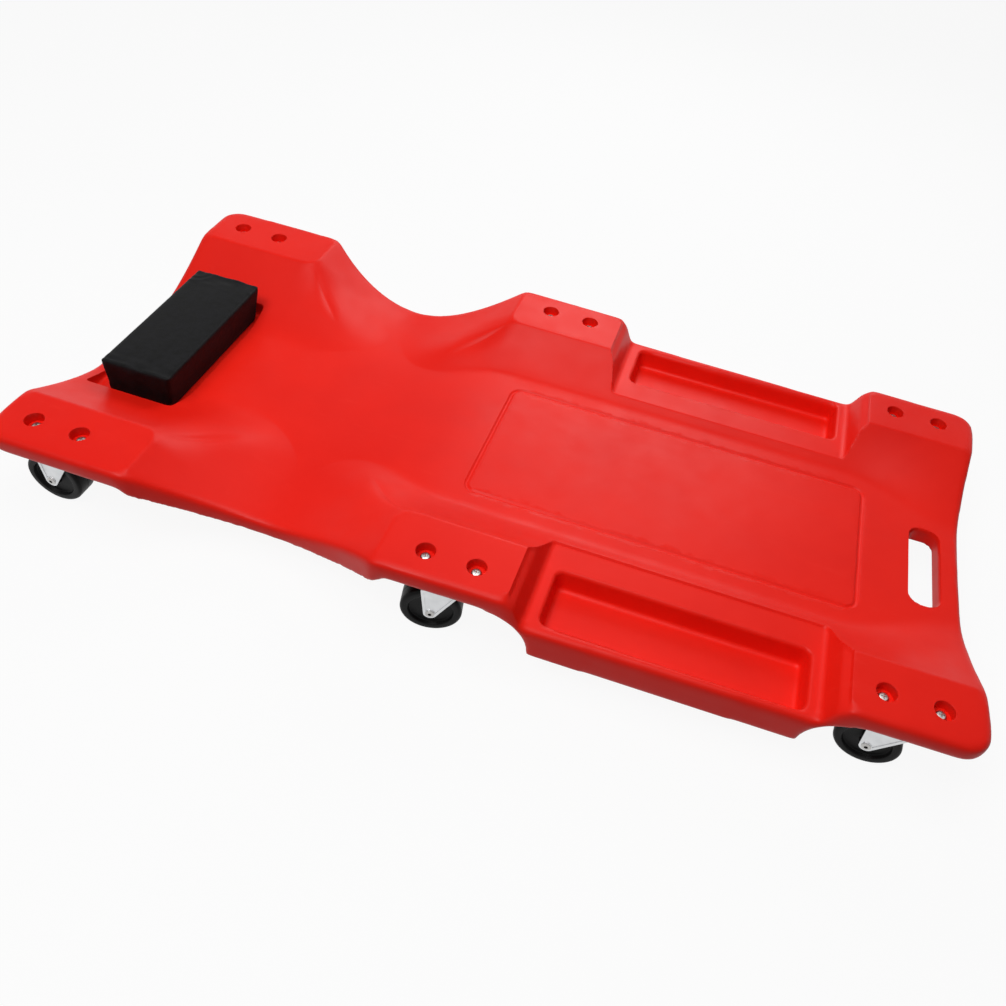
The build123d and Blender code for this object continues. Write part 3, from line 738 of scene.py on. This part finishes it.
def crumple(co, low, high):
    """Moves for small uneven folds of the vinyl, strongest near the corners."""
    move = np.zeros_like(co)
    for i, (x, y, z) in enumerate(co):
        near = (abs(y) / high.y) ** 4
        spot = Vector((x * 30.0, y * 12.0, z * 30.0))
        soft = noise.noise(spot) * 0.5 + noise.noise(spot * 2.7) * 0.3
        fold = noise.noise(Vector((x * 45.0, y * 140.0, 3.0))) * near
        from_end = high.y * CUSHION_STRETCH - abs(y)
        ridge = RIDGE_LIFT * np.exp(-((from_end - RIDGE_PLACE) / RIDGE_WIDTH) ** 2)
        reach = np.hypot(x - low.x - ARC_CENTRE, high.y - y)
        arcs = sum(np.exp(-((reach - radius) / ARC_WIDTH) ** 2) for radius in ARC_RADII)
        top = z > high.z
        seams = top * (ridge * (0.7 + soft) + ARC_LIFT * arcs)
        move[i, 2] = (soft * SOFT_LIFT + fold * FOLD_LIFT + seams) * MM
        move[i, 1] = np.sign(y) * fold * FOLD_PUSH * MM * (not top)
    return move


# ---------------------------------------------------------------- turned pieces
# The wheel, in millimetres. Halves are measured from its middle, along its axle.
WHEEL_TURNS = 96
WHEEL_RADIUS = 31.75
WHEEL_HALF = 12.5
WHEEL_SHOULDER = 3.5             # the tread's rounding
WHEEL_DISH = 4.2                 # how deep the web lies in the rim
HUB_HALF = 13.8
HUB_RADIUS = 8.0
HUB_FACE = HUB_RADIUS - 2.0      # the hub's level end
RIM_INSIDE = 23.75
BORE = 3.25
HUB_ROUND, WEB_ROUND, RIM_ROUND = 1.0, 1.5, 0.9
PARTING = ((0.0, 0.6), (0.3, 0.25))      # the parting line's depths and half widths


def wheel_profile():
    """One side of the wheel's section from the bore out to the parting line, and its mirror."""
    web = WHEEL_HALF - WHEEL_DISH
    half = [(BORE, HUB_HALF), (HUB_FACE, HUB_HALF)]
    half += arc((HUB_FACE, HUB_HALF - HUB_ROUND), HUB_ROUND, 90, 0, 3)
    half += arc((HUB_RADIUS + 0.5, web + WEB_ROUND), WEB_ROUND, 180, 270, 3)
    half += arc((RIM_INSIDE - 2.5, web + WEB_ROUND), WEB_ROUND, 270, 340, 3)
    half += arc((RIM_INSIDE + 0.4, WHEEL_HALF - RIM_ROUND), RIM_ROUND, 160, 90, 3)
    shoulder = (WHEEL_RADIUS - WHEEL_SHOULDER, WHEEL_HALF - WHEEL_SHOULDER)
    half += arc(shoulder, WHEEL_SHOULDER, 90, 0, 6)
    half += [(WHEEL_RADIUS - depth, height) for depth, height in PARTING]
    return half + [(radius, -height) for radius, height in reversed(half)]


def axle_frame(joint):
    """The matrix that puts a piece turned about Z onto a wheel's axle."""
    turn = Vector((0, 0, 1)).rotation_difference(Vector(joint["axis"]))
    return Matrix.Translation(joint["pos_m"]) @ turn.to_matrix().to_4x4()


def wheels():
    """Smooth moulded wheels in place of the six plain ones."""
    profile = [(radius * MM, height * MM) for radius, height in wheel_profile()]
    for corner in CORNERS:
        mesh = mesh_of(f"{corner}_tyre", *lathe(profile, WHEEL_TURNS))
        mesh.transform(axle_frame(JOINTS[f"{corner}_wheel_roll"]))
        shade_smooth(mesh, 0.7)
        obj = dress(new_object(f"{corner}_tyre", mesh), "black_wheel")
        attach(obj, f"{corner}_roller")
        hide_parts(f"{corner}_wheel")


# The bolt, in millimetres; its heights are the deck's.
BOLT_TURNS = 40
BOLT_TAIL = 70.0
BOLT_RADIUS = 3.0
BOLT_CHAMFER = 0.5
BOLT_HEAD_RADIUS = 5.3
BOLT_HEAD_ROUND = 2.2
BOLT_CROWN = 96.6
BOLT_CROWN_FLAT = 1.8
CROSS = ((2.7, 0.6), (0.6, 2.7))         # half sizes of the cross recess's two slots
CROSS_DEPTH = 1.7


def bolt():
    """One pan-headed bolt with a cross recess."""
    seat = BOLT_SEAT / MM
    profile = [(AXIS_GAP, BOLT_TAIL), (BOLT_RADIUS - BOLT_CHAMFER, BOLT_TAIL),
               (BOLT_RADIUS, BOLT_TAIL + BOLT_CHAMFER), (BOLT_RADIUS, seat),
               (BOLT_HEAD_RADIUS, seat), (BOLT_HEAD_RADIUS, seat + 1.0)]
    profile += arc((BOLT_HEAD_RADIUS - BOLT_HEAD_ROUND, seat + 1.2), BOLT_HEAD_ROUND, 0, 75, 5)
    profile += [(BOLT_CROWN_FLAT, BOLT_CROWN - 0.05), (AXIS_GAP, BOLT_CROWN)]
    obj = new_object("bolt", mesh_of("bolt", *lathe(profile, BOLT_TURNS)))
    for half_x, half_y in CROSS:
        bpy.ops.mesh.primitive_cube_add(size=2, location=(0, 0, BOLT_CROWN))
        cutter = bpy.context.object
        cutter.scale = (half_x, half_y, CROSS_DEPTH)
        cut(obj, cutter)
    part = lists_of(obj.data)
    bpy.data.objects.remove(obj)
    return part


def bolts():
    """Twelve bolts in the deck's counterbores, as one piece."""
    mesh = merged("caster_bolt_set", placed(bolt(), bolt_places()))
    shade_smooth(mesh, 0.6)
    obj = dress(new_object("caster_bolt_set", mesh), "steel_fastener")
    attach(obj, "root")
    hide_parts("caster_bolts")


# ---------------------------------------------------------------- camera, floor and light
CAMERA_PLACE = (0.153892, -0.738063, 0.783206)
CAMERA_TURN = (0.178, 0.799, 0.169)      # yaw, pitch and roll in radians
CAMERA_LENS = 32.25
CAMERA_SHIFT = (-0.0315, -0.0194)

FLOOR_HALF = 8.0
BACKDROP_LIFT = 0.90             # how far the floor is lifted to its glow, for rays that see it
BACKDROP_GLOW = 1.03
FILL = 0.04                      # strength of the light from all round
LIGHT_SIZE = (0.9, 0.7)
LIGHTS = (                       # name, place, aim and watts
    ("key", (-0.56, -0.84, 1.80), (-0.06, 0.0, 0.05), 18),
    ("top", (-0.03, -0.06, 1.65), (-0.03, 0.0, 0.05), 9),
    ("back", (-0.03, 1.31, 0.97), (-0.03, 0.0, 0.05), 8),
)


def camera():
    """The camera, at the photograph's viewing angle."""
    yaw, pitch, roll = CAMERA_TURN
    ahead = Vector((-sin(yaw) * cos(pitch), cos(yaw) * cos(pitch), -sin(pitch)))
    right = ahead.cross(Vector((0, 0, 1))).normalized()
    up = right.cross(ahead)
    across = cos(roll) * right + sin(roll) * up
    above = cos(roll) * up - sin(roll) * right
    data = bpy.data.cameras.new("camera")
    data.lens = CAMERA_LENS
    data.sensor_width = 36.0
    data.shift_x, data.shift_y = CAMERA_SHIFT
    data.clip_start = 0.01
    obj = link(bpy.data.objects.new("camera", data))
    turn = Matrix((across, above, -ahead)).transposed().to_4x4()
    obj.matrix_world = Matrix.Translation(CAMERA_PLACE) @ turn
    bpy.context.scene.camera = obj


def backdrop_material():
    """Pale floor that takes the shadow, lifted towards white for the camera and reflections."""
    mat, tree, shader = node_tree("backdrop")
    cloud = noise_of(tree, coords(tree), 3.0, 2.0)
    base = mix_of(tree, cloud, (0.50, 0.50, 0.50), (0.54, 0.54, 0.54))
    tree.links.new(base, shader.inputs["Base Color"])
    shader.inputs["Roughness"].default_value = 0.9
    shader.inputs["Specular IOR Level"].default_value = 0.0
    glow = add(tree, "ShaderNodeEmission", Strength=BACKDROP_GLOW)
    share = range_of(tree, seen_directly(tree), 0.0, 1.0, 0.0, BACKDROP_LIFT)
    both = add(tree, "ShaderNodeMixShader")
    tree.links.new(share, both.inputs[0])
    tree.links.new(shader.outputs[0], both.inputs[1])
    tree.links.new(glow.outputs[0], both.inputs[2])
    tree.links.new(both.outputs[0], tree.nodes["Material Output"].inputs["Surface"])
    return mat


def seen_directly(tree):
    """1 for camera, glossy and transmission rays, 0 for the rest."""
    path = add(tree, "ShaderNodeLightPath")
    total = path.outputs["Is Camera Ray"]
    for name in ("Is Glossy Ray", "Is Transmission Ray"):
        either = add(tree, "ShaderNodeMath", operation="MAXIMUM")
        tree.links.new(total, either.inputs[0])
        tree.links.new(path.outputs[name], either.inputs[1])
        total = either.outputs[0]
    return total


def floor():
    """A pale square floor under the wheels."""
    mesh = bpy.data.meshes.new("floor")
    corners = [(x * FLOOR_HALF, y * FLOOR_HALF, 0) for x, y in ((-1, -1), (1, -1), (1, 1), (-1, 1))]
    mesh.from_pydata(corners, [], [(0, 1, 2, 3)])
    obj = new_object("floor", mesh)
    mesh.materials.append(backdrop_material())


def area_light(name, place, aim, power):
    """A soft rectangular light at a place, turned towards its aim."""
    data = bpy.data.lights.new(name, "AREA")
    data.shape = "RECTANGLE"
    data.size, data.size_y = LIGHT_SIZE
    data.energy = power
    obj = link(bpy.data.objects.new(name, data))
    turn = (Vector(aim) - Vector(place)).to_track_quat("-Z", "Y").to_matrix().to_4x4()
    obj.matrix_world = Matrix.Translation(place) @ turn


def world():
    """White to the camera and in reflections; a plain soft fill to the rest."""
    scene_world = bpy.data.worlds.new("world")
    bpy.context.scene.world = scene_world
    scene_world.use_nodes = True
    tree = scene_world.node_tree
    background = tree.nodes["Background"]
    background.inputs["Color"].default_value = (1.0, 1.0, 1.0, 1.0)
    strength = range_of(tree, seen_directly(tree), 0.0, 1.0, FILL, 1.0)
    tree.links.new(strength, background.inputs["Strength"])


def stage():
    """Camera, floor, world and lights."""
    camera()
    floor()
    world()
    for light in LIGHTS:
        area_light(*light)
    bpy.context.scene.view_settings.view_transform = "Standard"


stage()
dress_cad_nodes()
deck_shell()
cushion()
wheels()
bolts()
